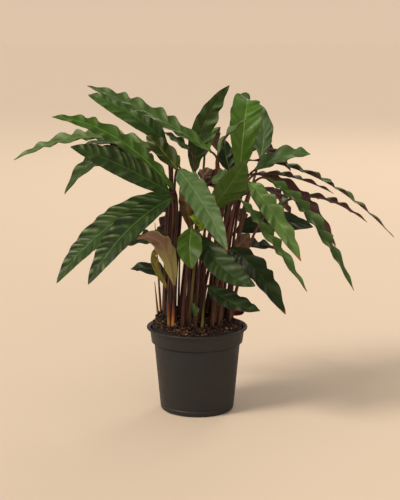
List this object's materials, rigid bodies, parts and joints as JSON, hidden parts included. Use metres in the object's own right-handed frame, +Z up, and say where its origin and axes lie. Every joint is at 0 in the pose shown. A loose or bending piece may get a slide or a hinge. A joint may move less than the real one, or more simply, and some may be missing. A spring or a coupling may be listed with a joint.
{
  "type": "potted calathea",
  "caption": "Bushy foliage house plant with long narrow waved leaves, green above and purple beneath, on upright reddish stalks in a plain round plastic nursery pot.",
  "frame": {"origin": "middle of the pot's flat underside, on the surface it stands on", "axes": "+Z up along the pot's axis; -Y towards the front of the plant, the side seen in the picture; +X to the right as seen from the front"},
  "size_m": [0.5196, 0.3323, 0.4492],
  "materials": {
    "pot_plastic": "matte injection moulded, faint sheen",
    "potting_mix": "rough, slightly moist bark chips",
    "stalk": "smooth, satin",
    "leaf_blade": "waxy satin above, velvety beneath",
    "fading_leaf": "dry, matte"
  },
  "bodies": {
    "root": {"pot": "pot_plastic", "soil": "potting_mix", "shoot_1": "stalk", "shoot_2": "stalk", "shoot_3": "stalk", "shoot_4": "stalk", "leaf_back_high": "leaf_blade", "leaf_back_left_high": "leaf_blade", "leaf_back_left_inner": "leaf_blade", "leaf_back_left_low": "leaf_blade", "leaf_back_low": "leaf_blade", "leaf_back_middle": "leaf_blade", "leaf_back_right_high": "leaf_blade", "leaf_back_right_inner": "leaf_blade", "leaf_back_right_low": "leaf_blade", "leaf_fading_pink": "fading_leaf", "leaf_fading_tan": "fading_leaf", "leaf_fading_yellow": "fading_leaf", "leaf_front_bright": "leaf_blade", "leaf_front_curl": "leaf_blade", "leaf_front_dark": "leaf_blade", "leaf_front_long": "leaf_blade", "leaf_front_low": "leaf_blade", "leaf_front_round": "leaf_blade", "leaf_front_young": "leaf_blade", "leaf_left_arched": "leaf_blade", "leaf_left_broad": "leaf_blade", "leaf_left_high": "leaf_blade", "leaf_left_high_back": "leaf_blade", "leaf_left_level": "leaf_blade", "leaf_left_lime": "leaf_blade", "leaf_left_low_back": "leaf_blade", "leaf_left_low_front": "leaf_blade", "leaf_left_lowest": "leaf_blade", "leaf_left_purple_tip": "leaf_blade", "leaf_left_shade": "leaf_blade", "leaf_middle_brown": "leaf_blade", "leaf_middle_grey": "leaf_blade", "leaf_middle_purple": "leaf_blade", "leaf_right_dark": "leaf_blade", "leaf_right_drooping": "leaf_blade", "leaf_right_folded": "leaf_blade", "leaf_right_front": "leaf_blade", "leaf_right_high": "leaf_blade", "leaf_right_level": "leaf_blade", "leaf_right_longest": "leaf_blade", "leaf_right_olive": "leaf_blade", "leaf_right_purple": "leaf_blade", "leaf_right_shade": "leaf_blade", "leaf_right_twisted": "leaf_blade", "leaf_sprout_red": "leaf_blade", "leaf_sprout_rolled": "leaf_blade", "leaf_top_bright": "leaf_blade", "leaf_top_dark": "leaf_blade", "leaf_top_narrow": "leaf_blade", "leaf_top_olive": "leaf_blade", "leaf_top_right": "leaf_blade", "leaf_top_short": "leaf_blade", "leaf_top_small": "leaf_blade"}
  },
  "joints": []
}
